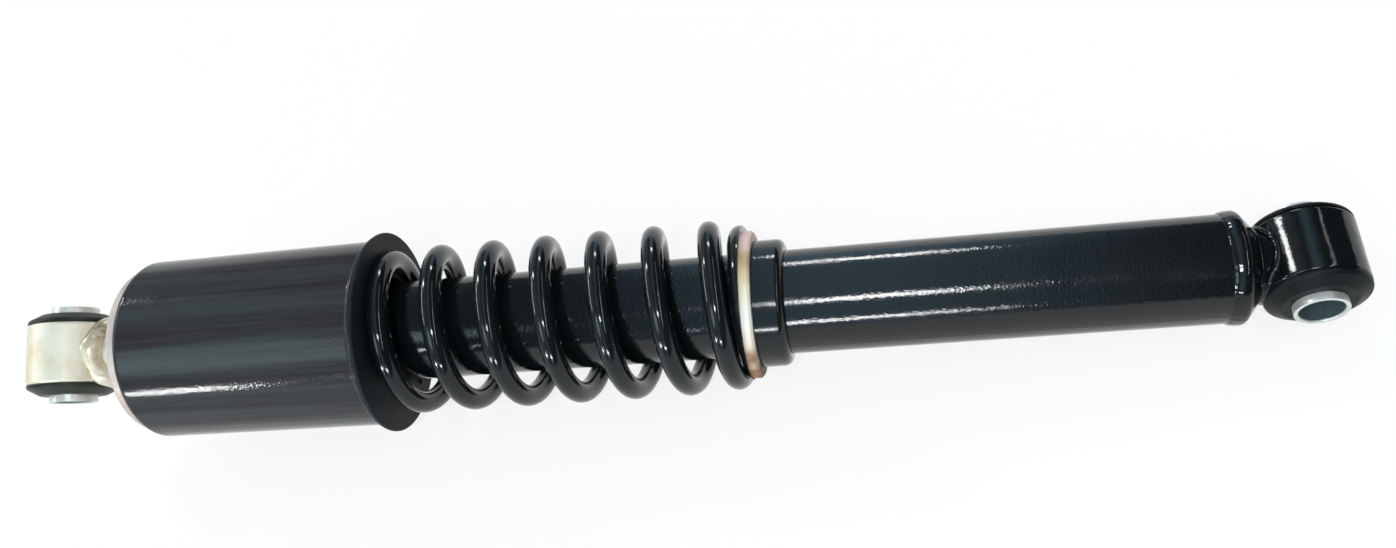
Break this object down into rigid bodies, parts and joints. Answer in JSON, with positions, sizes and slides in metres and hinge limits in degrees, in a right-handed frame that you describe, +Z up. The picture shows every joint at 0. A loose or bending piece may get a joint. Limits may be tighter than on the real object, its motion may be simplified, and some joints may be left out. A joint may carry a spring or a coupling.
{
  "type": "spring damper",
  "caption": "Telescopic coil-over damper with a rubber-bushed eye at each end, a dust cover over the rod and a coil spring round the hydraulic tube.",
  "frame": {"origin": "centre of the base eye's bolt bore", "axes": "+X along the damper towards the rod eye, +Y along the base bolt, +Z up as it lies"},
  "size_m": [0.5574, 0.0848, 0.0848],
  "materials": {
    "black_paint": "gloss",
    "spring_coating": "gloss",
    "yellow_zinc": "satin",
    "cream_zinc": "satin",
    "bare_steel": "satin",
    "chrome_rod": "polished",
    "rubber": "matte",
    "bump_foam": "matte",
    "sintered_iron": "matte",
    "piston_band": "matte",
    "bronze": "satin"
  },
  "bodies": {
    "damper_body": {"base_eye": "black_paint", "base_bush_rubber": "rubber", "base_cap": "black_paint", "reservoir_tube": "black_paint", "spring_seat_collar": "black_paint", "pressure_tube": "bare_steel", "rod_guide": "sintered_iron", "guide_bush": "bronze", "rod_seal": "rubber", "seal_retainer": "bare_steel", "foot_valve_body": "sintered_iron", "foot_valve_shims": "bare_steel", "foot_valve_rivet": "bare_steel"},
    "foot_check": {"foot_check_plate": "bare_steel"},
    "base_sleeve": {"base_bush_sleeve": "bare_steel"},
    "spring_carrier": {"lower_spring_seat": "yellow_zinc", "coil_spring": "spring_coating"},
    "rod_assembly": {"piston_rod": "chrome_rod", "bump_stop": "bump_foam", "rebound_stop": "bare_steel", "rebound_buffer": "rubber", "piston": "sintered_iron", "piston_ring": "piston_band", "piston_shims": "bare_steel", "check_valve_stop": "bare_steel", "piston_nut": "bare_steel", "end_plate": "yellow_zinc", "dust_cover": "black_paint", "upper_spring_seat": "black_paint", "rod_eye": "cream_zinc", "rod_bush_rubber": "rubber"},
    "piston_check": {"piston_check_plate": "bare_steel"},
    "rod_sleeve": {"rod_bush_sleeve": "bare_steel"}
  },
  "joints": [
    {"name": "swivel", "type": "hinge", "parent": "damper_body", "child": "spring_carrier", "pos_m": [0.2113, 0, 0], "axis": [1, 0, 0], "continuous": true},
    {"name": "stroke", "type": "slide", "parent": "spring_carrier", "child": "rod_assembly", "axis": [-1, 0, 0], "range_m": [0, 0.07], "stiffness_N_per_m": 45000, "deforming": ["coil_spring"]},
    {"name": "base_bush_twist", "type": "hinge", "parent": "damper_body", "child": "base_sleeve", "pos_m": [0, 0, 0], "axis": [0, 1, 0], "range_deg": [-12, 12], "stiffness_Nm_per_rad": 30},
    {"name": "rod_bush_twist", "type": "hinge", "parent": "rod_assembly", "child": "rod_sleeve", "pos_m": [0.519, 0, 0], "axis": [0, 0.9291, -0.3697], "range_deg": [-12, 12], "stiffness_Nm_per_rad": 30},
    {"name": "foot_check_lift", "type": "slide", "parent": "damper_body", "child": "foot_check", "axis": [1, 0, 0], "range_m": [0, 0.0014], "stiffness_N_per_m": 500},
    {"name": "piston_check_lift", "type": "slide", "parent": "rod_assembly", "child": "piston_check", "axis": [1, 0, 0], "range_m": [0, 0.0014], "stiffness_N_per_m": 500}
  ]
}
